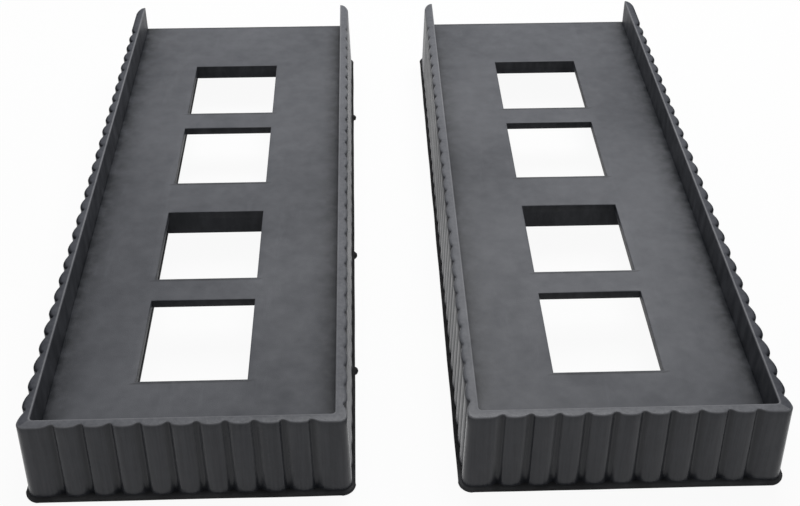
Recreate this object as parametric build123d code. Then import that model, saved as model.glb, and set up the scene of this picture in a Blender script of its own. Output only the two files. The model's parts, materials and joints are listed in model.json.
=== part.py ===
# Ramp leveler: a pair of long moulded trays for the wheels of a caravan or trailer.
# Each tray has a fluted wall on both long sides and across its closed end, and a raised
# deck with four windows between the walls. The wheel rolls in at the open end.
# Millimetres. X runs across the pair, Y from the closed ends to the open ends, Z up.
# The origin is on the floor, in the middle of the pair.
import os

from build123d import *

# Overall sizes of one tray
tray_width = 254.0            # over the tips of the side flutes
tray_length = 711.0           # closed end to open end
tray_height = 78.0            # floor to the top of the wall
deck_height = 51.0            # floor to the face that the tyre stands on
tray_spacing = 346.0          # centre line to centre line of the two trays

# Fluted wall
wall_thickness = 9.6          # flute tip to the flat inner face
flute_pitch = 22.5            # wished spacing, evened out over each side
groove_width = 8.0
groove_depth = 4.6            # flute tip to the bottom of a groove
land_crown = 1.6              # how far a flute's tip stands out from its edges
front_first_groove = 25.75    # side face to the first groove across the closed end
side_first_groove = 18.25     # closed end to the first groove along a side
side_last_groove = 62.75      # last groove along a side to the open end
corner_radius = 7.0           # upright corners at the closed end
ear_length = 14.0             # the wall's rounded tip at the open end
ledge_width = 6.0             # seat for the deck's edges
ledge_height = 6.0

# Deck and its windows
deck_thickness = 8.0
window_width = 92.0
window_shift = -2.5           # the tray's centre line to the windows' centre line
near_margin = 80.0            # closed end to the first window
far_margin = 98.0             # last window to the open end
narrow_bar = 31.0             # between the two windows of a pair
wide_bar = 51.0               # between the two pairs

# Structure under the deck
end_beam_width = 24.0
end_beam_depth = 8.0
mid_beam_depth = 18.0
beam_wall = 4.0               # the beams are channels, open downwards
bearer_inset = 16.0           # a centred window's side edge to the bearer's near face
bearer_thickness = 8.0
rib_thickness = 5.0
rib_depth = 22.0
rib_pitch = 80.0              # wished spacing, evened out over the deck
skirt_thickness = 8.0         # face under the deck at the open end

# Rubber under the tray
rubber_thickness = 4.0
ring_reach = 5.0              # how far the ring shows outside the flute tips
ring_width = 22.0
ring_corner_radius = 12.0
nib_radius = 4.0              # moulding nibs on the ring's right edge
nib_reach = 2.5
nib_places = (-215.0, -45.0, 219.0)
foot_strip_width = 16.0
foot_strip_clearance = 2.0    # strip's ends to the ring

# What follows from them
half_width = tray_width / 2
half_length = tray_length / 2
inner_half_width = half_width - wall_thickness
inner_front = -half_length + wall_thickness
skirt_face = half_length - skirt_thickness
windows_near = -half_length + near_margin
windows_far = half_length - far_margin
window_length = (windows_far - windows_near - 2 * narrow_bar - wide_bar) / 4
window_pair = 2 * window_length + narrow_bar
wide_bar_near = windows_near + window_pair
deck_underside = deck_height - deck_thickness
ledge_inner_x = inner_half_width - ledge_width
ledge_inner_front = inner_front + ledge_width
window_centres = [
    start + window_length / 2 + step * (window_length + narrow_bar)
    for start in (windows_near, windows_far - window_pair)
    for step in (0, 1)
]
bearer_inner_x = window_width / 2 + bearer_inset
bearer_outer_x = bearer_inner_x + bearer_thickness


def block(x_low, x_high, y_low, y_high, z_low, z_high):
    # A plain rectangular block between two corners.
    size = (x_high - x_low, y_high - y_low, z_high - z_low)
    middle = ((x_low + x_high) / 2, (y_low + y_high) / 2, (z_low + z_high) / 2)
    return Pos(*middle) * Box(*size)


def even_places(first, last, wished_pitch):
    # Places from first to last, evenly spaced, as near to the wished pitch as they can be.
    spaces = max(1, round((last - first) / wished_pitch))
    return [first + (last - first) * i / spaces for i in range(spaces + 1)]


def flute_run(place, grooves, start, end):
    # Edges of one fluted side. place(t, d) is the point t along it and d inward from the tips.
    # The run goes from start to end, which are on the tip line.
    half_groove = groove_width / 2
    edges = []
    land_start = (start, 0.0)
    for centre in grooves:
        land_end = (centre - half_groove, land_crown)
        middle = (land_start[0] + land_end[0]) / 2
        crown = 0.0 if land_start[1] > 0 else land_crown / 4
        edges.append(ThreePointArc(place(*land_start), place(middle, crown), place(*land_end)))
        groove_end = (centre + half_groove, land_crown)
        edges.append(ThreePointArc(place(*land_end), place(centre, groove_depth), place(*groove_end)))
        land_start = groove_end
    middle = (land_start[0] + end) / 2
    edges.append(ThreePointArc(place(*land_start), place(middle, land_crown / 4), place(end, 0.0)))
    return edges


def wall_outline():
    # Plan of the wall: fluted outside, flat inside, open at the far end.
    def left_side(t, d):
        return (-half_width + d, half_length - t)

    def closed_end(t, d):
        return (-half_width + t, -half_length + d)

    def right_side(t, d):
        return (half_width - d, -half_length + t)

    side_grooves = even_places(side_first_groove, tray_length - side_last_groove, flute_pitch)
    left_grooves = [tray_length - place for place in reversed(side_grooves)]
    end_grooves = even_places(front_first_groove, tray_width - front_first_groove, flute_pitch)
    corner = corner_radius * (1 - 0.5 ** 0.5)

    edges = [TangentArc(left_side(ear_length, 0), left_side(0, wall_thickness), tangent=(0, 1))]
    edges += flute_run(left_side, left_grooves, ear_length, tray_length - corner_radius)
    edges.append(ThreePointArc(
        left_side(tray_length - corner_radius, 0), closed_end(corner, corner), closed_end(corner_radius, 0)
    ))
    edges += flute_run(closed_end, end_grooves, corner_radius, tray_width - corner_radius)
    edges.append(ThreePointArc(
        closed_end(tray_width - corner_radius, 0),
        closed_end(tray_width - corner, corner),
        right_side(corner_radius, 0),
    ))
    edges += flute_run(right_side, side_grooves, corner_radius, tray_length - ear_length)
    ear_start = right_side(tray_length - ear_length, 0)
    edges.append(TangentArc(ear_start, right_side(tray_length, wall_thickness), tangent=(0, 1)))
    edges.append(Polyline(
        right_side(tray_length, wall_thickness),
        (inner_half_width, inner_front),
        (-inner_half_width, inner_front),
        left_side(0, wall_thickness),
    ))
    return make_face(Curve() + edges)


def wall():
    # The fluted wall with the ledge that the deck drops onto.
    shell = Pos(0, 0, rubber_thickness) * extrude(wall_outline(), tray_height - rubber_thickness)
    ledge_low = deck_underside - ledge_height
    ledge = block(-inner_half_width, inner_half_width, inner_front, skirt_face, ledge_low, deck_underside)
    ledge -= block(-ledge_inner_x, ledge_inner_x, ledge_inner_front, skirt_face + 1,
                   ledge_low - 1, deck_underside + 1)
    return shell + ledge


def deck():
    # The panel that the tyre stands on, with its four windows.
    panel = block(-inner_half_width, inner_half_width, inner_front, half_length, deck_underside, deck_height)
    for centre in window_centres:
        panel -= Pos(window_shift, centre, deck_underside) * Box(window_width, window_length, 4 * deck_thickness)
    return panel


def entry_skirt():
    # Face under the deck at the open end, where the tyre first pushes.
    return block(-inner_half_width, inner_half_width, skirt_face, half_length,
                 rubber_thickness, deck_underside)


def beam(y_low, y_high, depth):
    # Channel under a cross bar of the deck, from bearer to bearer.
    channel = block(-bearer_inner_x, bearer_inner_x, y_low, y_high, deck_underside - depth, deck_underside)
    hollow = block(-bearer_inner_x + beam_wall, bearer_inner_x - beam_wall, y_low + beam_wall,
                   y_high - beam_wall, deck_underside - depth - 1, deck_underside - beam_wall)
    return channel - hollow


def bearer(side):
    # Long rib beside the windows, standing on its foot strip. side is -1 left or 1 right.
    x_low, x_high = sorted((side * bearer_inner_x, side * bearer_outer_x))
    return block(x_low, x_high, ledge_inner_front, skirt_face, rubber_thickness, deck_underside)


def side_ribs():
    # Short cross ribs between each bearer and the wall's ledge.
    ribs = []
    for y in even_places(inner_front + rib_pitch / 2, skirt_face - rib_pitch / 2, rib_pitch):
        for side in (-1, 1):
            x_low, x_high = sorted((side * bearer_outer_x, side * ledge_inner_x))
            ribs.append(block(x_low, x_high, y - rib_thickness / 2, y + rib_thickness / 2,
                              deck_underside - rib_depth, deck_underside))
    return Part() + ribs


def base_ring():
    # Rubber ring under the wall and the skirt. It shows as a dark rim outside them.
    outer_width = tray_width + 2 * ring_reach
    outer_length = tray_length + 2 * ring_reach
    ring = RectangleRounded(outer_width, outer_length, ring_corner_radius)
    for place in nib_places:
        ring += Pos(outer_width / 2 + nib_reach - nib_radius, place) * Circle(nib_radius)
    ring -= Rectangle(outer_width - 2 * ring_width, outer_length - 2 * ring_width)
    return extrude(ring, rubber_thickness)


def foot_strip(side):
    # Rubber strip under a bearer, inside the ring.
    middle = side * (bearer_inner_x + bearer_outer_x) / 2
    reach = half_length + ring_reach - ring_width - foot_strip_clearance
    return block(middle - foot_strip_width / 2, middle + foot_strip_width / 2,
                 -reach, reach, 0, rubber_thickness)


def tray_pieces():
    # Every piece of one tray, on its own centre line.
    return {
        "wall": wall(),
        "deck": deck(),
        "entry_skirt": entry_skirt(),
        "near_beam": beam(windows_near - end_beam_width, windows_near, end_beam_depth),
        "mid_beam": beam(wide_bar_near, wide_bar_near + wide_bar, mid_beam_depth),
        "far_beam": beam(windows_far, windows_far + end_beam_width, end_beam_depth),
        "left_bearer": bearer(-1),
        "right_bearer": bearer(1),
        "side_ribs": side_ribs(),
        "base_ring": base_ring(),
        "left_foot_strip": foot_strip(-1),
        "right_foot_strip": foot_strip(1),
    }


os.makedirs("parts", exist_ok=True)
pieces = tray_pieces()
for name, side in (("left", -1), ("right", 1)):
    # Half the nibs' reach keeps the origin in the middle of the whole pair.
    tray_place = Pos(side * tray_spacing / 2 - nib_reach / 2, 0, 0)
    for piece, shape in pieces.items():
        export_step(tray_place * shape, f"parts/{name}_tray_{piece}.step")
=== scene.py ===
import json
import math

import bmesh
import bpy
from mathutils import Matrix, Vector, noise


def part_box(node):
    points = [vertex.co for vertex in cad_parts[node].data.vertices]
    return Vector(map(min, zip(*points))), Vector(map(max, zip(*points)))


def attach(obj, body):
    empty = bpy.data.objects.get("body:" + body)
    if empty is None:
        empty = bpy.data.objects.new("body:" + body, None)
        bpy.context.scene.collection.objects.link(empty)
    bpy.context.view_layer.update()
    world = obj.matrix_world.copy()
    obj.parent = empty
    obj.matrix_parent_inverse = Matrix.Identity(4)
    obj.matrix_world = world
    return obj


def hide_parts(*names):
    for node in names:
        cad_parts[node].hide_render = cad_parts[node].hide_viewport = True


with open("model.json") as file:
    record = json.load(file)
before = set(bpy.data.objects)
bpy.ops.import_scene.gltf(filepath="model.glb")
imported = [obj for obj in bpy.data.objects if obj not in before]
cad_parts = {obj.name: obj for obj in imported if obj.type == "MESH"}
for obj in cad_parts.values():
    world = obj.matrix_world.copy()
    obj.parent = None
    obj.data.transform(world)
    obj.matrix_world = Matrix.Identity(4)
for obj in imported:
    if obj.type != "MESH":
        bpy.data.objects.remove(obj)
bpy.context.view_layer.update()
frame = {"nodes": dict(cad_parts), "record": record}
trays = ("left", "right")
print("frame loaded:", len(frame["nodes"]), "nodes")


def addNode(tree, kind, inputs=None, **settings):
    node = tree.nodes.new(kind)
    for name, value in settings.items():
        setattr(node, name, value)
    for key, value in (inputs or {}).items():
        if isinstance(value, bpy.types.NodeSocket):
            tree.links.new(value, node.inputs[key])
        else:
            node.inputs[key].default_value = value
    return node


def addMath(tree, operation, *values, clamp=False):
    node = addNode(tree, "ShaderNodeMath", dict(enumerate(values)), operation=operation, use_clamp=clamp)
    return node.outputs[0]


def addNoise(tree, where, scale, detail, **more):
    inputs = {"Vector": where, "Scale": scale, "Detail": detail, **more}
    return addNode(tree, "ShaderNodeTexNoise", inputs).outputs["Fac"]


def fitRange(tree, value, fromLow=0.0, fromHigh=1.0, toLow=0.0, toHigh=1.0):
    limits = {"From Min": fromLow, "From Max": fromHigh, "To Min": toLow, "To Max": toHigh}
    return addNode(tree, "ShaderNodeMapRange", {"Value": value, **limits}).outputs["Result"]


def mixValues(tree, factor, low, high):
    return addNode(tree, "ShaderNodeMix", {0: factor, 2: low, 3: high}, data_type="FLOAT").outputs[0]


def objectPlace(tree, stretch=None):
    # Object coordinates, drawn out where stretch is less than one
    where = addNode(tree, "ShaderNodeTexCoord").outputs["Object"]
    if stretch is None:
        return where
    return addNode(tree, "ShaderNodeVectorMath", {0: where, 1: stretch}, operation="MULTIPLY").outputs[0]


def newGroup(name, kind, inputs, outputs):
    # inputs and outputs are lists of (socket name, socket kind, default or None)
    tree = bpy.data.node_groups.new(name, kind)
    for direction, sockets in (("INPUT", inputs), ("OUTPUT", outputs)):
        for socketName, socketKind, default in sockets:
            socket = tree.interface.new_socket(socketName, in_out=direction, socket_type=socketKind)
            if default is not None:
                socket.default_value = default
    return tree, tree.nodes.new("NodeGroupInput").outputs, tree.nodes.new("NodeGroupOutput").inputs


def makeMottle():
    # Uneven tone of a moulding: wide cloudy patches with smaller blotches in them
    tree, given, result = newGroup("mottle", "ShaderNodeTree", [
        ("Patch Scale", "NodeSocketFloat", 7.0), ("Blotch Scale", "NodeSocketFloat", 60.0),
        ("Blotch Share", "NodeSocketFloat", 0.4),
    ], [("Tone", "NodeSocketFloat", None)])
    where = objectPlace(tree)
    patches = addNoise(tree, where, given["Patch Scale"], 3.0)
    blotches = addNoise(tree, where, given["Blotch Scale"], 5.0)
    mixed = mixValues(tree, given["Blotch Share"], patches, blotches)
    tree.links.new(fitRange(tree, mixed, fromLow=0.3, fromHigh=0.7), result["Tone"])
    return tree


def makeGrain():
    # Fine spark-eroded texture of the mould, with the slight waviness of a thick wall
    tree, given, result = newGroup("grain", "ShaderNodeTree", [
        ("Grain Scale", "NodeSocketFloat", 1400.0), ("Wave Scale", "NodeSocketFloat", 28.0),
        ("Wave Share", "NodeSocketFloat", 0.5),
    ], [("Height", "NodeSocketFloat", None)])
    where = objectPlace(tree)
    fine = addNoise(tree, where, given["Grain Scale"], 2.0)
    wave = addNoise(tree, where, given["Wave Scale"], 1.0)
    tree.links.new(mixValues(tree, given["Wave Share"], fine, wave), result["Height"])
    return tree


def makeFlowStreaks():
    # Upright streaks where the plastic ran down the mould
    tree, given, result = newGroup("flowStreaks", "ShaderNodeTree", [
        ("Streak Scale", "NodeSocketFloat", 160.0), ("Stretch", "NodeSocketFloat", 0.06),
    ], [("Streak", "NodeSocketFloat", None)])
    upright = addNode(tree, "ShaderNodeCombineXYZ", {"X": 1.0, "Y": 1.0, "Z": given["Stretch"]})
    streaks = addNoise(tree, objectPlace(tree, upright.outputs[0]), given["Streak Scale"], 2.0)
    tree.links.new(fitRange(tree, streaks, fromLow=0.35, fromHigh=0.7), result["Streak"])
    return tree


def makeScuffs():
    # Faint rubbed marks, long along the tray
    tree, given, result = newGroup("scuffs", "ShaderNodeTree", [
        ("Scuff Scale", "NodeSocketFloat", 45.0), ("Cover", "NodeSocketFloat", 0.3),
    ], [("Scuff", "NodeSocketFloat", None)])
    alongTray = (1.0, 0.16, 1.0)
    rubs = addNoise(tree, objectPlace(tree, alongTray), given["Scuff Scale"], 7.0, Roughness=0.7)
    least = addMath(tree, "SUBTRACT", 0.8, given["Cover"])
    most = addMath(tree, "ADD", least, 0.2)
    tree.links.new(fitRange(tree, rubs, fromLow=least, fromHigh=most), result["Scuff"])
    return tree


effects = {
    "mottle": makeMottle(), "grain": makeGrain(),
    "flowStreaks": makeFlowStreaks(), "scuffs": makeScuffs(),
}


def useEffect(tree, name, inputs=None):
    node = tree.nodes.new("ShaderNodeGroup")
    node.node_tree = effects[name]
    for key, value in (inputs or {}).items():
        node.inputs[key].default_value = value
    return node.outputs[0]


def newMaterial(name):
    material = bpy.data.materials.new(name)
    material.use_nodes = True
    tree = material.node_tree
    return material, tree, tree.nodes["Principled BSDF"]


def blendColour(tree, factor, low, high):
    mix = addNode(tree, "ShaderNodeMix", {0: factor}, data_type="RGBA")
    for key, value in ((6, low), (7, high)):
        if isinstance(value, bpy.types.NodeSocket):
            tree.links.new(value, mix.inputs[key])
        else:
            mix.inputs[key].default_value = (*value, 1.0)
    return mix.outputs[2]


def surfaceBump(tree, shader, height, strength, distance):
    bump = addNode(tree, "ShaderNodeBump", {"Height": height, "Strength": strength, "Distance": distance})
    tree.links.new(bump.outputs[0], shader.inputs["Normal"])


def readMark(tree, name):
    # A value that the mesh carries at its points
    return addNode(tree, "ShaderNodeAttribute", attribute_name=name).outputs["Fac"]


plasticLook = {
    # groove and shade are colours of painted shade; lip is the colour of painted highlight and wear
    "dark": (0.0495, 0.0525, 0.062), "light": (0.097, 0.101, 0.1155), "groove": (0.016, 0.0185, 0.024),
    "lip": (0.22, 0.223, 0.237), "scuff": (0.125, 0.130, 0.147), "shade": (0.0075, 0.0092, 0.0125),
    "mottle": {"Patch Scale": 6.0, "Blotch Scale": 70.0, "Blotch Share": 0.35},
    "streaks": {"Streak Scale": 300.0, "Stretch": 0.03},
    "scuffScale": 38.0, "scuffShare": 0.5,
    "grooveShare": 0.75, "grooveFalloff": 2.0,
    "wornLeast": 0.3, "wornByTone": 0.5,                  # painted highlight and wear on edges, uneven with the mottle
    "grimeMost": 1.15, "grimeByStreak": -0.6,             # painted shade is streaky
    "grimeStreaks": {"Streak Scale": 90.0, "Stretch": 0.35},
    "grain": {"Grain Scale": 1300.0, "Wave Scale": 26.0, "Wave Share": 0.6}, "bump": (0.35, 0.0012),
    "polish": 0.3,      # how much smoother the outer skin is than the rest, less so beside the gap
}


def makeTrayPlastic(name, marks=(), streakShare=0.0, scuffCover=0.2, roughLow=0.42, roughHigh=0.6,
                    specular=0.26):
    # Satin dark grey moulding. marks are the mesh's own values: painted shade, painted highlight with wear,
    # and the smoother skin.
    look = plasticLook
    material, tree, shader = newMaterial(name)
    tone = useEffect(tree, "mottle", look["mottle"])
    colour = blendColour(tree, tone, look["dark"], look["light"])
    if streakShare > 0:
        streak = useEffect(tree, "flowStreaks", look["streaks"])
        colour = blendColour(tree, addMath(tree, "MULTIPLY", streak, streakShare), colour, look["scuff"])
    scuff = useEffect(tree, "scuffs", {"Scuff Scale": look["scuffScale"], "Cover": scuffCover})
    colour = blendColour(tree, addMath(tree, "MULTIPLY", scuff, look["scuffShare"]), colour, look["scuff"])
    # painted shade in the grooves
    if "groove" in marks:
        core = addMath(tree, "POWER", readMark(tree, "groove"), look["grooveFalloff"])
        core = addMath(tree, "MULTIPLY", core, look["grooveShare"])
        colour = blendColour(tree, core, colour, look["groove"])
    # painted highlight and wear where the mesh's lip value is high
    if "lip" in marks:
        wearAndHighlightShare = addMath(tree, "MULTIPLY_ADD", tone, look["wornByTone"], look["wornLeast"])
        wearAndHighlightShare = addMath(tree, "MULTIPLY", readMark(tree, "lip"), wearAndHighlightShare)
        colour = blendColour(tree, wearAndHighlightShare, colour, look["lip"])
    # painted shade where the mesh's shade value is high, made streaky
    if "shade" in marks:
        uneven = useEffect(tree, "flowStreaks", look["grimeStreaks"])
        paintedShade = addMath(tree, "MULTIPLY_ADD", uneven, look["grimeByStreak"], look["grimeMost"])
        paintedShade = addMath(tree, "MULTIPLY", paintedShade, readMark(tree, "shade"), clamp=True)
        colour = blendColour(tree, paintedShade, colour, look["shade"])
    tree.links.new(colour, shader.inputs["Base Color"])
    rough = fitRange(tree, tone, toLow=roughHigh, toHigh=roughLow)
    if "skin" in marks:
        polished = addMath(tree, "MULTIPLY", readMark(tree, "skin"), readMark(tree, "press"))
        rough = addMath(tree, "MULTIPLY_ADD", polished, -look["polish"], rough)
    tree.links.new(rough, shader.inputs["Roughness"])
    shader.inputs["Specular IOR Level"].default_value = specular
    surfaceBump(tree, shader, useEffect(tree, "grain", look["grain"]), *look["bump"])
    return material


rubberLook = {
    "mottle": {"Patch Scale": 22.0, "Blotch Scale": 190.0, "Blotch Share": 0.6},
    "scuffs": {"Scuff Scale": 90.0, "Cover": 0.22}, "scuff": (0.06, 0.06, 0.06), "scuffShare": 0.35,
    "patches": {"Patch Scale": 11.0, "Blotch Scale": 70.0, "Blotch Share": 0.35},
    "roughLow": 0.62, "roughHigh": 0.85, "specular": 0.14,
    "grain": {"Grain Scale": 900.0, "Wave Scale": 60.0, "Wave Share": 0.35}, "bump": (0.5, 0.0008),
}


def makeRubber(name, dark, light, paintedHighlight=None):
    # Matt black rubber. The last colour, if given, is a painted highlight in patches where the mesh's lip
    # value is high.
    look = rubberLook
    material, tree, shader = newMaterial(name)
    tone = useEffect(tree, "mottle", look["mottle"])
    colour = blendColour(tree, tone, dark, light)
    scuff = useEffect(tree, "scuffs", look["scuffs"])
    colour = blendColour(tree, addMath(tree, "MULTIPLY", scuff, look["scuffShare"]), colour, look["scuff"])
    if paintedHighlight:
        patches = useEffect(tree, "mottle", look["patches"])
        colour = blendColour(tree, addMath(tree, "MULTIPLY", patches, readMark(tree, "lip")), colour, paintedHighlight)
    tree.links.new(colour, shader.inputs["Base Color"])
    rough = fitRange(tree, tone, toLow=look["roughHigh"], toHigh=look["roughLow"])
    tree.links.new(rough, shader.inputs["Roughness"])
    shader.inputs["Specular IOR Level"].default_value = look["specular"]
    surfaceBump(tree, shader, useEffect(tree, "grain", look["grain"]), *look["bump"])
    return material


wallPlastic = makeTrayPlastic("wallPlastic", ("skin", "groove", "lip", "shade"), streakShare=0.55,
                              scuffCover=0.16, specular=0.23)
rimPlastic = makeTrayPlastic("rimPlastic", ("groove", "lip", "shade"), streakShare=0.4, scuffCover=0.24,
                             roughLow=0.55, roughHigh=0.75, specular=0.05)
deckPlastic = makeTrayPlastic("deckPlastic", ("shade",), scuffCover=0.22)
innerPlastic = makeTrayPlastic("innerPlastic", ("shade",), scuffCover=0.1, roughLow=0.55, roughHigh=0.7)
# the ring's last colour is its painted highlight
ringRubber = makeRubber("ringRubber", (0.007, 0.007, 0.008), (0.015, 0.015, 0.016), (0.12, 0.123, 0.13))
stripRubber = makeRubber("stripRubber", (0.012, 0.012, 0.013), (0.026, 0.026, 0.027))
print("materials made")


nearly = 0.0001        # heights and places closer than this count as the same


def finishMesh(name, mesh, material, smoothAngle=40):
    piece = bpy.data.objects.new(name, mesh)
    bpy.context.scene.collection.objects.link(piece)
    mesh.materials.clear()
    mesh.materials.append(material)
    mesh.shade_smooth()
    mesh.set_sharp_from_angle(angle=math.radians(smoothAngle))
    return piece


def bakeModifiers(piece):
    # Turns the evaluated object into the piece's own plain mesh
    view = bpy.context.evaluated_depsgraph_get()
    baked = bpy.data.meshes.new_from_object(piece.evaluated_get(view))
    old = piece.data
    piece.modifiers.clear()
    piece.data = baked
    bpy.data.meshes.remove(old)
    return piece


def settle(piece, node):
    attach(piece, "root")
    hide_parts(node)


def shadeEvenly(piece, shade):
    values = [shade] * len(piece.data.vertices)
    piece.data.attributes.new("shade", "FLOAT", "POINT").data.foreach_set("value", values)


def spread(low, high, count):
    return [low + (high - low) * i / count for i in range(count + 1)]


def clampShare(value):
    return min(max(value, 0.0), 1.0)


def threeSidedPath(halfWidth, front, far, radius, counts):
    # From the left far end, round the closed end, to the right far end. counts: side, corner, end
    sideCount, cornerCount, endCount = counts
    left = [Vector((-halfWidth, y)) for y in spread(far, front + radius, sideCount)]
    corner = []
    for angle in spread(math.pi, 1.5 * math.pi, cornerCount)[1:-1]:
        corner.append(Vector((radius - halfWidth + radius * math.cos(angle),
                              radius + front + radius * math.sin(angle))))
    end = [Vector((x, front)) for x in spread(radius - halfWidth, halfWidth - radius, endCount)]
    half = left + corner
    return half + end + [Vector((-p.x, p.y)) for p in reversed(half)]


def sweepSections(outer, inner, section, closed=False):
    # Joins a loop of section points at every pair of outer and inner path points.
    # section(thickness, place) gives (distance from the outer path, height, skin, lip, shade) round the loop.
    points, faces, inwards = [], [], []
    marks = {"skin": [], "lip": [], "shade": []}
    for start, finish in zip(outer, inner):
        across = finish - start
        loop = section(across.length, start)
        inward = across.normalized()
        for distance, height, *values in loop:
            spot = start + inward * distance
            points.append((spot.x, spot.y, height))
            inwards.append((inward.x, inward.y, 0.0))
            for mark, value in zip(marks.values(), values):
                mark.append(value)
    size = len(points) // len(outer)
    for i in range(len(outer) if closed else len(outer) - 1):
        this, after = i * size, (i + 1) % len(outer) * size
        for k in range(size):
            m = (k + 1) % size
            faces.append((this + k, after + k, after + m, this + m))
    if not closed:
        faces.append(tuple(range(size)))
        faces.append(tuple(len(points) - 1 - k for k in range(size)))
    return points, faces, marks, inwards


def solidFrom(name, points, faces, marks=None, inwards=None):
    mesh = bpy.data.meshes.new(name)
    mesh.from_pydata(points, [], faces)
    for mark, values in (marks or {}).items():
        mesh.attributes.new(mark, "FLOAT", "POINT").data.foreach_set("value", values)
    if inwards:
        flat = [part for vector in inwards for part in vector]
        mesh.attributes.new("inward", "FLOAT_VECTOR", "POINT").data.foreach_set("vector", flat)
    work = bmesh.new()
    work.from_mesh(mesh)
    bmesh.ops.recalc_face_normals(work, faces=work.faces)
    work.to_mesh(mesh)
    work.free()
    return mesh


def roundedTop(thickness, low, high, radius, rows, steps=4):
    # Upright section with both top edges rounded, starting at the outer foot
    corner = min(radius, thickness * 0.45)
    bend = [(corner * (1 - math.cos(turn)), high - corner + corner * math.sin(turn))
            for turn in spread(0, math.pi / 2, steps)[1:]]
    loop = [(0.0, z) for z in spread(low, high - corner, rows)] + bend
    loop += [(thickness * share, high) for share in (0.35, 0.65)]
    loop += [(thickness - across, z) for across, z in reversed(bend)]
    loop += [(thickness, z) for z in reversed(spread(low, high - corner, rows))]
    return loop


wallLook = {
    "thickness": 0.0096, "cornerRadius": 0.007, "innerCornerRadius": 0.003,
    "sideShare": 0.3,                           # how much of a corner's width counts as the side
    "earLength": 0.014, "earTip": 0.0028,       # the wall's two ends thin out over the ear's length
    "columnsOnSide": 540, "columnsInCorner": 8, "columnsOnEnd": 186, "rows": 6, "skinRows": 12,
    "shoulderSteps": 6, "innerSteps": 3,
    "draft": 0.0026,                            # how far the foot stands outside the top
    "footShade": 0.12, "wearReach": 0.02,       # painted shade on the skin, and how far down wear and painted highlight go from its top
    "outerShoulder": {                          # the flutes' tops fall away outwards
        "share": 0.44, "drop": 0.0028,          # of the thickness, and in height
        "edgeShade": 1.1, "edgeWear": 0.0, "skinWear": 0.4,
        "grooveFall": 0.3,                      # how much shallower the grooves get over it
    },
    "innerShoulder": {
        "share": 0.4, "drop": 0.0026, "edgeShade": 0.2, "edgeWear": 0.15, "skinWear": 0.7, "grooveFall": 0.75,
    },
    "endShoulder": {
        "share": 0.2, "drop": 0.0012, "edgeShade": 0.12, "edgeWear": 0.9, "skinWear": 0.0, "grooveFall": 0.3,
    },
    "shoulderBlend": 0.02,                      # length over which the end's shoulder becomes a side's
    "shadeBase": 0.14, "shadeReach": 0.65, "shadeFalloff": 0.8,      # the shade along a shoulder
    "flatStops": (0.58, 0.74), "flatEnd": 0.95,      # points on the flat top, where grooves and shade end
    "flatSkin": 1.3, "flatShade": 0.3, "flatWear": 0.1,
    "innerRadius": 0.0009, "lipShare": 0.86, "lipWear": 0.4,         # wear and painted highlight along the top's inner edge
    "underLip": 0.0015, "underLipWear": 0.6,
    "innerShade": 0.76, "earFade": (0.052, 0.018),     # painted shade on the inner face, eased off near the open end
    "rimRows": 9,                               # section points that have the rim's finish
    "gapPress": 0.55,                           # how deep the grooves beside the gap are, of the others
    "pitch": 0.0225, "ripple": 0.0005, "rippleScale": 17.0,
    "sideFlute": (0.0054, 0.0046, 0.0026), "endFlute": (0.0074, 0.0040, 0.0013),  # groove width, depth, crown
    "sideFirst": 0.01825, "sideCount": 29, "endFirst": 0.01125, "endCount": 5,
    "sideTint": 0.28, "endTint": 1.0, "tintReach": 1.3,      # painted shade in the grooves: how dark, and how wide
    "smoothAngle": 38,
}


def wallSection(thickness, low, high, onSide, sideShoulder):
    # Leaning fluted skin, shoulder over the flutes, flat top, small inner edge, plain inner face.
    # onSide runs from 0 on the closed end to 1 along the sides.
    look = wallLook
    shape = {key: atEnd + (sideShoulder[key] - atEnd) * onSide for key, atEnd in look["endShoulder"].items()}
    shoulder, drop, edgeShade = thickness * shape["share"], shape["drop"], shape["edgeShade"]
    inner = min(look["innerRadius"], thickness * 0.2)
    foot = look["draft"] * min(1.0, thickness / look["thickness"])
    loop = []
    # outer skin: painted shade all over, wear and painted highlight near its top
    for z in spread(low, high - drop, look["skinRows"]):
        wearAndHighlight = shape["skinWear"] * max(0.0, 1 - (high - z) / look["wearReach"])
        loop.append((-foot * (high - z) / (high - low), z, 1.0, wearAndHighlight, look["footShade"]))
    # shoulder: wear and painted highlight on its edge, painted shade towards its outer edge
    for turn in spread(0, math.pi / 2, look["shoulderSteps"])[1:]:
        across = shoulder * (1 - math.cos(turn))
        skin = 1.0 - shape["grooveFall"] * across / shoulder
        wearAndHighlight = shape["edgeWear"] * math.sin(turn * 2)
        shade = max(0.0, 1 - across / shoulder / look["shadeReach"]) ** look["shadeFalloff"]
        shade = edgeShade * (look["shadeBase"] + shade)
        loop.append((across, high - drop + drop * math.sin(turn), skin, wearAndHighlight, shade))
    # flat top: a little wear and painted highlight, and painted shade fading inwards
    for stop in look["flatStops"]:
        left = look["flatEnd"] - stop
        loop.append((thickness * stop, high, left * look["flatSkin"], look["flatWear"],
                     edgeShade * left * look["flatShade"]))
    # inner edge: wear and painted highlight
    loop.append((thickness * look["lipShare"], high, 0.0, look["lipWear"], 0.0))
    for turn in reversed(spread(0, math.pi / 2, look["innerSteps"])[1:]):
        across = thickness - inner * (1 - math.cos(turn))
        loop.append((across, high - inner + inner * math.sin(turn), 0.0, 1.0, 0.0))
    loop.append((thickness, high - inner, 0.0, look["underLipWear"], 0.0))
    # painted shade on the inner face
    for z in reversed(spread(low, high - inner - look["underLip"], look["rows"])):
        loop.append((thickness, z, 0.0, 0.0, look["innerShade"]))
    return loop


def fadeNearEars(marks, outer, size, high):
    # The painted shade on the inner face eases off over the last stretch before the open end
    start, finish = wallLook["earFade"]
    for column, point in enumerate(outer):
        rest = clampShare((high.y - point.y - finish) / (start - finish))
        for k in range(column * size, (column + 1) * size):
            if marks["skin"][k] == 0.0:
                marks["shade"][k] *= 0.5 + 0.5 * rest


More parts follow.
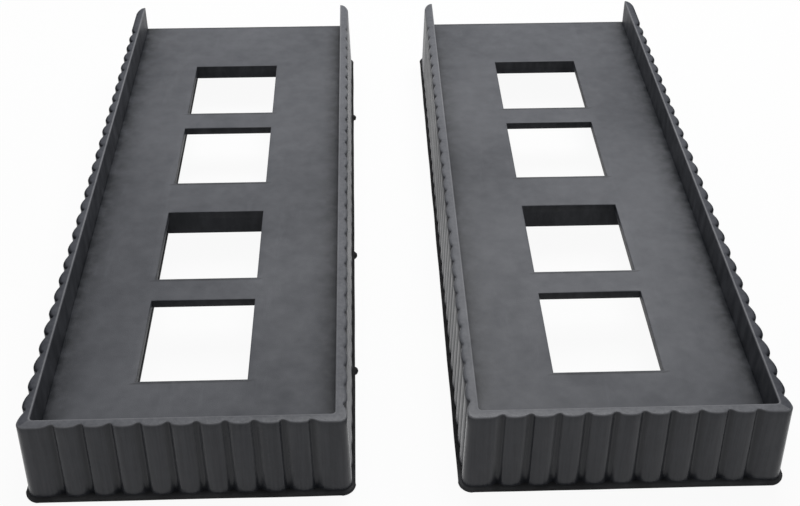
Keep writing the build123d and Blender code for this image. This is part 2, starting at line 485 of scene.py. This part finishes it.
def makeFluteTree():
    # Presses grooves into the outer skin of a wall. place is the distance along a side from its corner,
    # or along the closed end from its middle.
    look = wallLook
    tree, given, result = newGroup("pressFlutes", "GeometryNodeTree", [
        ("Geometry", "NodeSocketGeometry", None), ("Pitch", "NodeSocketFloat", look["pitch"]),
        ("Side Groove Width", "NodeSocketFloat", 0.008), ("End Groove Width", "NodeSocketFloat", 0.008),
        ("Side Groove Depth", "NodeSocketFloat", 0.0046), ("End Groove Depth", "NodeSocketFloat", 0.0046),
        ("Side Crown", "NodeSocketFloat", 0.0016), ("End Crown", "NodeSocketFloat", 0.0016),
        ("Side Groove Tint", "NodeSocketFloat", look["sideTint"]),
        ("End Groove Tint", "NodeSocketFloat", look["endTint"]),
        ("Tint Reach", "NodeSocketFloat", look["tintReach"]),
        ("Side First", "NodeSocketFloat", look["sideFirst"]), ("Side Count", "NodeSocketFloat", 29.0),
        ("End First", "NodeSocketFloat", look["endFirst"]), ("End Count", "NodeSocketFloat", 5.0),
        ("Ripple", "NodeSocketFloat", look["ripple"]), ("Material", "NodeSocketMaterial", None),
        ("Rim Material", "NodeSocketMaterial", None),
    ], [("Geometry", "NodeSocketGeometry", None)])

    def meshMark(name, kind="FLOAT"):
        return addNode(tree, "GeometryNodeInputNamedAttribute", {"Name": name}, data_type=kind).outputs[0]

    place, onEnd, skin, press = (meshMark(name) for name in ("place", "onEnd", "skin", "press"))

    def sideOrEnd(name):
        return mixValues(tree, onEnd, given[f"Side {name}"], given[f"End {name}"])

    first, count, width = sideOrEnd("First"), sideOrEnd("Count"), sideOrEnd("Groove Width")
    deep, crown = sideOrEnd("Groove Depth"), sideOrEnd("Crown")

    # the nearest groove, and how far it is
    step = addMath(tree, "DIVIDE", addMath(tree, "SUBTRACT", place, first), given["Pitch"])
    step = addMath(tree, "MINIMUM", addMath(tree, "ROUND", step), addMath(tree, "SUBTRACT", count, 1.0))
    nearest = addMath(tree, "MULTIPLY_ADD", addMath(tree, "MAXIMUM", step, 0.0), given["Pitch"], first)
    away = addMath(tree, "ABSOLUTE", addMath(tree, "SUBTRACT", place, nearest))
    halfGroove = addMath(tree, "MULTIPLY", width, 0.5)
    halfLand = addMath(tree, "SUBTRACT", addMath(tree, "MULTIPLY", given["Pitch"], 0.5), halfGroove)

    # round groove between crowned lands
    share = addMath(tree, "MINIMUM", addMath(tree, "DIVIDE", away, halfGroove), 1.0)
    bowl = addMath(tree, "SUBTRACT", 1.0, addMath(tree, "MULTIPLY", share, share))
    cut = addMath(tree, "MULTIPLY", bowl, addMath(tree, "SUBTRACT", deep, crown))
    fromTip = addMath(tree, "SUBTRACT", addMath(tree, "ADD", halfLand, halfGroove), away)
    fall = addMath(tree, "DIVIDE", addMath(tree, "MAXIMUM", fromTip, 0.0), halfLand)
    fall = addMath(tree, "MINIMUM", fall, 1.0)
    lobe = addMath(tree, "MULTIPLY", addMath(tree, "MULTIPLY", fall, fall), crown)
    rippleNoise = addNode(tree, "ShaderNodeTexNoise", {"Scale": look["rippleScale"], "Detail": 1.0})
    ripple = addMath(tree, "MULTIPLY", rippleNoise.outputs["Fac"], given["Ripple"])
    depth = addMath(tree, "MULTIPLY", addMath(tree, "ADD", addMath(tree, "ADD", cut, lobe), ripple), skin)
    depth = addMath(tree, "MULTIPLY", depth, press)
    inward = meshMark("inward", "FLOAT_VECTOR")
    offset = addNode(tree, "ShaderNodeVectorMath", {0: inward, "Scale": depth}, operation="SCALE")

    # painted shade along the grooves
    dimShare = addMath(tree, "DIVIDE", away, addMath(tree, "MULTIPLY", halfGroove, given["Tint Reach"]))
    dimShare = addMath(tree, "MINIMUM", dimShare, 1.0)
    dim = addMath(tree, "SUBTRACT", 1.0, addMath(tree, "MULTIPLY", dimShare, dimShare))
    grooveShade = addMath(tree, "MULTIPLY", dim, sideOrEnd("Groove Tint"))
    onSkin = addMath(tree, "MULTIPLY", addMath(tree, "POWER", skin, 4.0), press)
    marked = addNode(tree, "GeometryNodeStoreNamedAttribute", {
        "Geometry": given["Geometry"], "Name": "groove", "Value": addMath(tree, "MULTIPLY", grooveShade, onSkin),
    }, data_type="FLOAT", domain="POINT")
    moved = addNode(tree, "GeometryNodeSetPosition", {
        "Geometry": marked.outputs[0], "Offset": offset.outputs[0],
    })
    real = addNode(tree, "GeometryNodeRealizeInstances", {"Geometry": moved.outputs[0]})
    coloured = addNode(tree, "GeometryNodeSetMaterial", {
        "Geometry": real.outputs[0], "Material": given["Material"],
    })
    onRim = addNode(tree, "FunctionNodeCompare", {0: meshMark("rim"), 1: 0.5}, operation="GREATER_THAN")
    rimmed = addNode(tree, "GeometryNodeSetMaterial", {
        "Geometry": coloured.outputs[0], "Selection": onRim.outputs[0], "Material": given["Rim Material"],
    })
    tree.links.new(rimmed.outputs[0], result["Geometry"])
    return tree


def applyTree(piece, tree, values):
    modifier = piece.modifiers.new(tree.name, "NODES")
    modifier.node_group = tree
    for item in tree.interface.items_tree:
        if item.in_out == "INPUT" and item.name in values:
            modifier[item.identifier] = values[item.name]
    return bakeModifiers(piece)


ledgeLook = {
    "width": 0.006, "height": 0.006, "overlap": 0.0005,      # the overlap is into the wall
    "cornerRadius": 0.003, "innerCornerRadius": 0.001, "counts": (40, 3, 12),
}


def makeLedge(tray, halfWidth, front):
    # The seat under the deck's edges, all round inside the wall
    look = ledgeLook
    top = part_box(f"{tray}_tray_deck")[0].z
    bottom, far = top - look["height"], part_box(f"{tray}_tray_entry_skirt")[0].y
    outer = threeSidedPath(halfWidth + look["overlap"], front - look["overlap"], far,
                           look["cornerRadius"], look["counts"])
    inner = threeSidedPath(halfWidth - look["width"], front + look["width"], far,
                           look["innerCornerRadius"], look["counts"])

    def section(thickness, place):
        corners = ((0, bottom), (0, top), (thickness, top), (thickness, bottom))
        return [(across, z, 0, 0, 0) for across, z in corners]

    points, faces, marks, _ = sweepSections(outer, inner, section)
    return solidFrom(f"{tray}Ledge", points, faces, marks)


def makeWall(tray, tree):
    look = wallLook
    low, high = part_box(f"{tray}_tray_wall")
    middle, halfWidth = (low.x + high.x) / 2, (high.x - low.x) / 2
    thick, radius, ear = look["thickness"], look["cornerRadius"], look["earLength"]
    counts = (look["columnsOnSide"], look["columnsInCorner"], look["columnsOnEnd"])
    outer = threeSidedPath(halfWidth, low.y, high.y, radius, counts)
    inner = threeSidedPath(halfWidth - thick, low.y + thick, high.y, look["innerCornerRadius"], counts)
    for point in outer:
        past = min((point.y - high.y + ear) / ear, 1.0)
        if past > 0:
            point.x -= math.copysign((thick - look["earTip"]) * (1 - math.sqrt(1 - past ** 2)), point.x)

    def onSide(place):
        # 0 on the closed end, 1 along the sides
        return clampShare((place.y - low.y - radius) / look["shoulderBlend"])

    def awayFromGap(place):
        return place.x * middle > 0

    def section(thickness, place):
        sideShoulder = look["outerShoulder" if awayFromGap(place) else "innerShoulder"]
        return wallSection(thickness, low.z, high.z, onSide(place), sideShoulder)

    points, faces, marks, inwards = sweepSections(outer, inner, section)
    size = len(points) // len(outer)
    fadeNearEars(marks, outer, size, high)
    marks["onEnd"], marks["place"], marks["rim"], marks["press"] = [], [], [], []
    for column, point in enumerate(outer):
        onEnd = point.y < low.y + radius and abs(point.x) < halfWidth - radius * look["sideShare"]
        marks["onEnd"] += [1.0 if onEnd else 0.0] * size
        marks["place"] += [abs(point.x) if onEnd else point.y - low.y] * size
        press = 1.0 if awayFromGap(point) else 1 - (1 - look["gapPress"]) * onSide(point)
        marks["press"] += [press] * size
        hasRim = not onEnd and awayFromGap(point)
        marks["rim"] += [float(hasRim and 0 <= k - look["skinRows"] <= look["rimRows"]) for k in range(size)]
    blank = solidFrom(f"{tray}WallBlank", points, faces, marks, inwards)
    piece = finishMesh(f"{tray}WallFluted", blank, wallPlastic)
    sizes = {
        "Pitch": look["pitch"], "Side First": look["sideFirst"], "Side Count": float(look["sideCount"]),
        "End First": look["endFirst"], "End Count": float(look["endCount"]), "Ripple": look["ripple"],
        "Material": wallPlastic, "Rim Material": rimPlastic,
    }
    for side, flute in (("Side", "sideFlute"), ("End", "endFlute")):
        for measure, value in zip(("Groove Width", "Groove Depth", "Crown"), look[flute]):
            sizes[f"{side} {measure}"] = value
    applyTree(piece, tree, sizes)

    ledge = makeLedge(tray, halfWidth - thick, low.y + thick)
    work = bmesh.new()
    work.from_mesh(piece.data)
    work.from_mesh(ledge)
    bmesh.ops.translate(work, verts=work.verts, vec=(middle, 0, 0))
    work.to_mesh(piece.data)
    work.free()
    bpy.data.meshes.remove(ledge)
    piece.data.set_sharp_from_angle(angle=math.radians(look["smoothAngle"]))
    settle(piece, f"{tray}_tray_wall")


fluteTree = makeFluteTree()
for tray in trays:
    makeWall(tray, fluteTree)
print("fluted walls made")


deckLook = {
    "cell": 0.006, "edgeRadius": 0.0011, "edgeSteps": 3, "sag": 0.0004, "windowClearance": 0.0005,
    "wallShade": ((0.62, 0.026, 1.7), (0.2, 0.09, 1.5)),   # painted shade along the walls: share, reach, falloff
    "outerShade": (0.24, 0.03, 1.0),                 # and more along the wall away from the other tray
    "rimShade": 0.8, "rimShadeReach": 0.0044,        # thin dark line along the free edges
    "rimShadeSide": 0.001,                           # and past a window's sides
    "sideShade": 0.86,                               # faces inside the windows
    "sagScale": 9.0, "smoothAngle": 40,
}


def windowBoxes(tray):
    # Plan boxes of the windows, from the record's openings
    grow = deckLook["windowClearance"]
    boxes = []
    for opening in frame["record"]["physics"]["openings"]:
        if opening["name"].startswith(tray) and opening["name"].endswith("_window"):
            low, high = opening["box_m"]
            boxes.append((low[0] - grow, high[0] + grow, low[1] - grow, high[1] + grow))
    return boxes


def gridLines(stops, cell):
    # Every stop, with even steps of about one cell between them
    lines = [stops[0]]
    for start, finish in zip(stops, stops[1:]):
        lines += spread(start, finish, max(1, round((finish - start) / cell)))[1:]
    return lines


def easeEdges(piece, radius, steps, wanted, sharpAngle=50):
    # Rounds the sharp edges whose two ends are both at a wanted height
    mesh = piece.data
    weights = mesh.attributes.new("bevel_weight_edge", "FLOAT", "EDGE").data
    work = bmesh.new()
    work.from_mesh(mesh)
    for edge in work.edges:
        sharp = edge.calc_face_angle(0.0) > math.radians(sharpAngle)
        if sharp and all(wanted(v.co.z) for v in edge.verts):
            weights[edge.index].value = 1.0
    work.free()
    bevel = piece.modifiers.new("edges", "BEVEL")
    bevel.width, bevel.segments, bevel.limit_method = radius, steps, "WEIGHT"
    bakeModifiers(piece)


def shadeDeck(mesh, low, high, windows):
    look = deckLook
    beside = look["rimShadeSide"]
    values = []
    for vertex in mesh.vertices:
        x, y, z = vertex.co
        toWall = min(x - low.x, high.x - x, y - low.y)
        rims = [w[2] for w in windows if y < w[2] and w[0] - beside < x < w[1] + beside]
        toRim = min(rim - y for rim in rims + [high.y])
        toOuter = x - low.x if low.x + high.x < 0 else high.x - x
        parts = [(toWall, *part) for part in look["wallShade"]] + [(toOuter, *look["outerShade"])]
        shade = sum(share * max(0.0, 1 - gap / reach) ** power for gap, share, reach, power in parts)
        shade = max(shade, look["rimShade"] * clampShare(2 - 2 * toRim / look["rimShadeReach"]))
        values.append(look["sideShade"] if z < high.z - look["edgeRadius"] * 0.9 else shade)
    mesh.attributes.new("shade", "FLOAT", "POINT").data.foreach_set("value", values)


def makeDeck(tray):
    look = deckLook
    low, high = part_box(f"{tray}_tray_deck")
    windows = windowBoxes(tray)
    bands = [look["rimShadeReach"] * share for share in (0.0, 0.5, 1.0)]
    xStops = sorted({low.x, high.x, *windows[0][:2]})
    yStops = sorted({low.y, *(high.y - d for d in bands), *(w[2] - d for w in windows for d in bands),
                     *(w[3] for w in windows)})
    xLines, yLines = gridLines(xStops, look["cell"]), gridLines(yStops, look["cell"])
    work = bmesh.new()
    spots = {}

    def corner(i, j):
        if (i, j) not in spots:
            spots[i, j] = work.verts.new((xLines[i], yLines[j], high.z))
        return spots[i, j]

    for i in range(len(xLines) - 1):
        for j in range(len(yLines) - 1):
            x, y = (xLines[i] + xLines[i + 1]) / 2, (yLines[j] + yLines[j + 1]) / 2
            if not any(w[0] < x < w[1] and w[2] < y < w[3] for w in windows):
                work.faces.new((corner(i, j), corner(i + 1, j), corner(i + 1, j + 1), corner(i, j + 1)))
    lower = bmesh.ops.extrude_face_region(work, geom=work.faces[:])
    lowerPoints = [part for part in lower["geom"] if isinstance(part, bmesh.types.BMVert)]
    bmesh.ops.translate(work, verts=lowerPoints, vec=(0, 0, low.z - high.z))
    bmesh.ops.recalc_face_normals(work, faces=work.faces)
    mesh = bpy.data.meshes.new(f"{tray}Deck")
    work.to_mesh(mesh)
    work.free()
    piece = finishMesh(f"{tray}DeckPanel", mesh, deckPlastic)
    easeEdges(piece, look["edgeRadius"], look["edgeSteps"], lambda z: z > high.z - nearly)
    shadeDeck(piece.data, low, high, windows)
    for vertex in piece.data.vertices:
        if vertex.co.z > high.z - 2 * nearly:
            vertex.co.z -= look["sag"] * (0.5 + 0.5 * noise.noise(vertex.co * look["sagScale"]))
    piece.data.set_sharp_from_angle(angle=math.radians(look["smoothAngle"]))
    settle(piece, f"{tray}_tray_deck")


for tray in trays:
    makeDeck(tray)
print("decks made")


ringLook = {
    "cornerRadius": 0.012, "innerCornerRadius": 0.004, "width": 0.022, "edgeRadius": 0.0015,
    "nibRadius": 0.004, "nibReach": 0.0025, "nibPlaces": (-0.215, -0.045, 0.219),
    "columnsOnSide": 350, "columnsInCorner": 10, "columnsOnEnd": 110, "rows": 2, "smoothAngle": 50,
    "wobble": 0.0006, "wobbleScale": 22.0,           # the outline is not quite straight
    "footInset": 0.0004,                             # the lowest edge is eased
    "rubbedReach": 0.03,                             # painted highlight on the closed end's edge, fading over this
    "rubbedLeast": 0.25, "rubbedWidth": 0.002,
}


def loopPath(halfWidth, halfLength, radius, look):
    # All the way round, anticlockwise from the near end of the right side
    right = [Vector((halfWidth, y))
             for y in spread(radius - halfLength, halfLength - radius, look["columnsOnSide"])]
    corner = []
    for angle in spread(0, math.pi / 2, look["columnsInCorner"])[1:-1]:
        corner.append(Vector((halfWidth - radius + radius * math.cos(angle),
                              halfLength - radius + radius * math.sin(angle))))
    far = [Vector((x, halfLength))
           for x in spread(halfWidth - radius, radius - halfWidth, look["columnsOnEnd"])]
    half = right + corner + far + [Vector((-p.x, p.y)) for p in reversed(corner)]
    return half + [Vector((-p.x, -p.y)) for p in half]


def makeRing(tray):
    look = ringLook
    low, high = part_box(f"{tray}_tray_base_ring")
    right = high.x - look["nibReach"]
    middle, halfWidth, halfLength = (low.x + right) / 2, (right - low.x) / 2, (high.y - low.y) / 2
    outer = loopPath(halfWidth, halfLength, look["cornerRadius"], look)
    inner = loopPath(halfWidth - look["width"], halfLength - look["width"], look["innerCornerRadius"], look)
    for point in outer:
        spot = Vector((point.x, point.y, low.x)) * look["wobbleScale"]
        wobble = look["wobble"] * (0.5 + 0.5 * noise.noise(spot))
        point.x -= math.copysign(wobble, point.x) * (abs(point.x) > halfWidth - nearly)
        point.y -= math.copysign(wobble, point.y) * (abs(point.y) > halfLength - nearly)
        for place in look["nibPlaces"]:
            away = abs(point.y - place)
            if point.x > 0 and away < look["nibRadius"]:
                bulge = math.sqrt(look["nibRadius"] ** 2 - away ** 2) - look["nibRadius"] + look["nibReach"]
                point.x = max(point.x, halfWidth + bulge)

    def section(thickness, place):
        # painted highlight along the outer top edge of the closed end
        atEnd = clampShare(1 - (place.y + halfLength) / look["rubbedReach"])
        least = look["rubbedLeast"]
        loop = []
        for across, z in roundedTop(thickness, low.z, high.z, look["edgeRadius"], look["rows"]):
            paintedHighlight = (least + (1 - least) * (z - low.z) / (high.z - low.z)) * atEnd
            paintedHighlight *= across < look["rubbedWidth"]
            onFoot = z < low.z + nearly and across < nearly
            loop.append((across + look["footInset"] * onFoot, z, 0.0, paintedHighlight, 0.0))
        return loop

    points, faces, marks, _ = sweepSections(outer, inner, section, closed=True)
    points = [(x + middle, y, z) for x, y, z in points]
    mesh = solidFrom(f"{tray}Ring", points, faces, {"lip": marks["lip"]})
    piece = finishMesh(f"{tray}BaseRing", mesh, ringRubber, look["smoothAngle"])
    settle(piece, f"{tray}_tray_base_ring")


for tray in trays:
    makeRing(tray)
print("base rings made")


memberLook = {
    "edgeRadius": 0.0008, "edgeSteps": 2,
    "mergeWithin": 0.000001, "flatWithin": 0.01,      # for the solid's loose triangles
    "shade": 0.8, "openShade": 0.35,       # in the dark under the deck, and at the open end
}
members = {
    "entry_skirt": ("EntrySkirt", deckPlastic, "tray_plastic"),
    "near_beam": ("NearBeam", innerPlastic, "tray_plastic"),
    "mid_beam": ("MidBeam", innerPlastic, "tray_plastic"),
    "far_beam": ("FarBeam", innerPlastic, "tray_plastic"),
    "left_bearer": ("LeftBearer", innerPlastic, "tray_plastic"),
    "right_bearer": ("RightBearer", innerPlastic, "tray_plastic"),
    "left_foot_strip": ("LeftFootStrip", stripRubber, "base_rubber"),
    "right_foot_strip": ("RightFootStrip", stripRubber, "base_rubber"),
}


def makeMember(tray, node, name, material, slot):
    # The construction's own solid, with its edges eased
    look = memberLook
    work = bmesh.new()
    work.from_mesh(frame["nodes"][f"{tray}_tray_{node}"].data)
    bmesh.ops.remove_doubles(work, verts=work.verts, dist=look["mergeWithin"])
    bmesh.ops.dissolve_limit(work, angle_limit=look["flatWithin"], verts=work.verts, edges=work.edges)
    mesh = bpy.data.meshes.new(tray + name)
    work.to_mesh(mesh)
    work.free()
    piece = finishMesh(tray + name, mesh, material)
    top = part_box(f"{tray}_tray_{node}")[1].z
    easeEdges(piece, look["edgeRadius"], look["edgeSteps"], lambda z: z < top - nearly)
    if slot == "tray_plastic":
        shadeEvenly(piece, look["openShade" if node == "entry_skirt" else "shade"])
    settle(piece, f"{tray}_tray_{node}")


for tray in trays:
    for node, (name, material, slot) in members.items():
        makeMember(tray, node, name, material, slot)
print("members made")


ribLook = {
    "count": 9, "thickness": 0.005, "taper": 0.0006,     # each face leans in by this at the free edge
    "edgeRadius": 0.0008, "edgeSteps": 2, "shade": 0.8,
}


def makeRibTree():
    # Sets the same rib along two lines, one on each side of the windows
    tree, given, result = newGroup("lineUpRibs", "GeometryNodeTree", [
        ("Rib", "NodeSocketGeometry", None), ("Count", "NodeSocketInt", 9),
        ("Start", "NodeSocketVector", None), ("Step", "NodeSocketVector", None),
        ("Across", "NodeSocketVector", None), ("Material", "NodeSocketMaterial", None),
    ], [("Ribs", "NodeSocketGeometry", None)])
    otherStart = addNode(tree, "ShaderNodeVectorMath", {0: given["Start"], 1: given["Across"]})
    rows = tree.nodes.new("GeometryNodeJoinGeometry")
    for start in (given["Start"], otherStart.outputs[0]):
        line = addNode(tree, "GeometryNodeMeshLine", {
            "Count": given["Count"], "Start Location": start, "Offset": given["Step"],
        })
        tree.links.new(line.outputs[0], rows.inputs[0])
    placed = addNode(tree, "GeometryNodeInstanceOnPoints", {
        "Points": rows.outputs[0], "Instance": given["Rib"],
    })
    real = addNode(tree, "GeometryNodeRealizeInstances", {"Geometry": placed.outputs[0]})
    coloured = addNode(tree, "GeometryNodeSetMaterial", {
        "Geometry": real.outputs[0], "Material": given["Material"],
    })
    tree.links.new(coloured.outputs[0], result["Ribs"])
    return tree


def makeRibs(tray, tree):
    look = ribLook
    low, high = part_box(f"{tray}_tray_side_ribs")
    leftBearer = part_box(f"{tray}_tray_left_bearer")[0].x
    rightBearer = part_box(f"{tray}_tray_right_bearer")[1].x
    size = Vector((leftBearer - low.x, look["thickness"], high.z - low.z))
    work = bmesh.new()
    bmesh.ops.create_cube(work, size=1.0)
    for vertex in work.verts:
        if vertex.co.z < 0:
            vertex.co.y *= 1 - 2 * look["taper"] / size.y
        vertex.co = vertex.co * size
    freeEdges = [edge for edge in work.edges if all(v.co.z < 0 for v in edge.verts)]
    bmesh.ops.bevel(work, geom=freeEdges, offset=look["edgeRadius"], segments=look["edgeSteps"],
                    profile=0.5, affect="EDGES")
    mesh = bpy.data.meshes.new(f"{tray}Rib")
    work.to_mesh(mesh)
    work.free()
    piece = finishMesh(f"{tray}SideRibs", mesh, innerPlastic)
    applyTree(piece, tree, {
        "Count": look["count"], "Material": innerPlastic,
        "Start": ((low.x + leftBearer) / 2, low.y + size.y / 2, (low.z + high.z) / 2),
        "Step": (0.0, (high.y - low.y - size.y) / (look["count"] - 1), 0.0),
        "Across": (rightBearer - low.x, 0.0, 0.0),
    })
    shadeEvenly(piece, look["shade"])
    settle(piece, f"{tray}_tray_side_ribs")


ribTree = makeRibTree()
for tray in trays:
    makeRibs(tray, ribTree)
print("ribs made")


studioLook = {
    "floorHalf": 6.0, "floor": 0.36,            # the floor as it lights the object
    "seenFloor": 0.9, "whiteShare": 0.94,       # and as it is looked at
    "ambient": 0.22,
}


def seenDirectly(tree):
    # 1 for rays that show the background: camera, glossy and see-through ones
    path = addNode(tree, "ShaderNodeLightPath").outputs
    either = addMath(tree, "MAXIMUM", path["Is Camera Ray"], path["Is Glossy Ray"])
    return addMath(tree, "MAXIMUM", either, path["Is Transmission Ray"])


def makeFloor():
    half = studioLook["floorHalf"]
    mesh = bpy.data.meshes.new("floor")
    corners = [(-half, -half, 0), (half, -half, 0), (half, half, 0), (-half, half, 0)]
    mesh.from_pydata(corners, [], [(0, 1, 2, 3)])
    floor = bpy.data.objects.new("floor", mesh)
    bpy.context.scene.collection.objects.link(floor)
    material = bpy.data.materials.new("paleFloor")
    material.use_nodes = True
    tree = material.node_tree
    tree.nodes.remove(tree.nodes["Principled BSDF"])
    seen = seenDirectly(tree)
    grey = blendColour(tree, seen, (studioLook["floor"],) * 3, (studioLook["seenFloor"],) * 3)
    matt = addNode(tree, "ShaderNodeBsdfDiffuse", {"Color": grey})
    glow = addNode(tree, "ShaderNodeEmission", {"Color": (1.0, 1.0, 1.0, 1.0), "Strength": 1.0})
    share = addMath(tree, "MULTIPLY", seen, studioLook["whiteShare"])
    mix = addNode(tree, "ShaderNodeMixShader", {0: share, 1: matt.outputs[0], 2: glow.outputs[0]})
    tree.links.new(mix.outputs[0], tree.nodes["Material Output"].inputs["Surface"])
    mesh.materials.append(material)
    material.cycles.emission_sampling = "NONE"     # the glow is only for rays that look at it


def makeWorld():
    world = bpy.data.worlds.new("paleRoom")
    bpy.context.scene.world = world
    world.use_nodes = True
    tree = world.node_tree
    background = tree.nodes["Background"]
    background.inputs["Color"].default_value = (1.0, 1.0, 1.0, 1.0)
    strength = mixValues(tree, seenDirectly(tree), studioLook["ambient"], 1.0)
    tree.links.new(strength, background.inputs["Strength"])


lampLook = {"place": (0.16, 0.78, 1.55), "aim": (0.0, 0.12, 0.0), "size": (1.2, 1.3), "power": 25.6}


def makeLamp():
    light = bpy.data.lights.new("topSoftbox", "AREA")
    light.shape = "RECTANGLE"
    light.size, light.size_y = lampLook["size"]
    light.energy = lampLook["power"]
    lamp = bpy.data.objects.new("topSoftbox", light)
    lamp.location = lampLook["place"]
    towards = Vector(lampLook["aim"]) - Vector(lampLook["place"])
    lamp.rotation_euler = towards.to_track_quat("-Z", "Y").to_euler()
    bpy.context.scene.collection.objects.link(lamp)


cameraLook = {
    "place": (-0.0294, -1.0547, 0.7694), "down": 37.164, "turn": -1.827, "lens": 57.26, "film": 36.0,
}


def makeCamera():
    lens = bpy.data.cameras.new("camera")
    lens.lens, lens.sensor_width = cameraLook["lens"], cameraLook["film"]
    camera = bpy.data.objects.new("camera", lens)
    camera.location = cameraLook["place"]
    camera.rotation_euler = (math.radians(90 - cameraLook["down"]), 0.0, math.radians(cameraLook["turn"]))
    bpy.context.scene.collection.objects.link(camera)
    bpy.context.scene.camera = camera


makeFloor()
makeWorld()
makeLamp()
makeCamera()
bpy.context.scene.view_settings.view_transform = "Standard"
print("studio made")
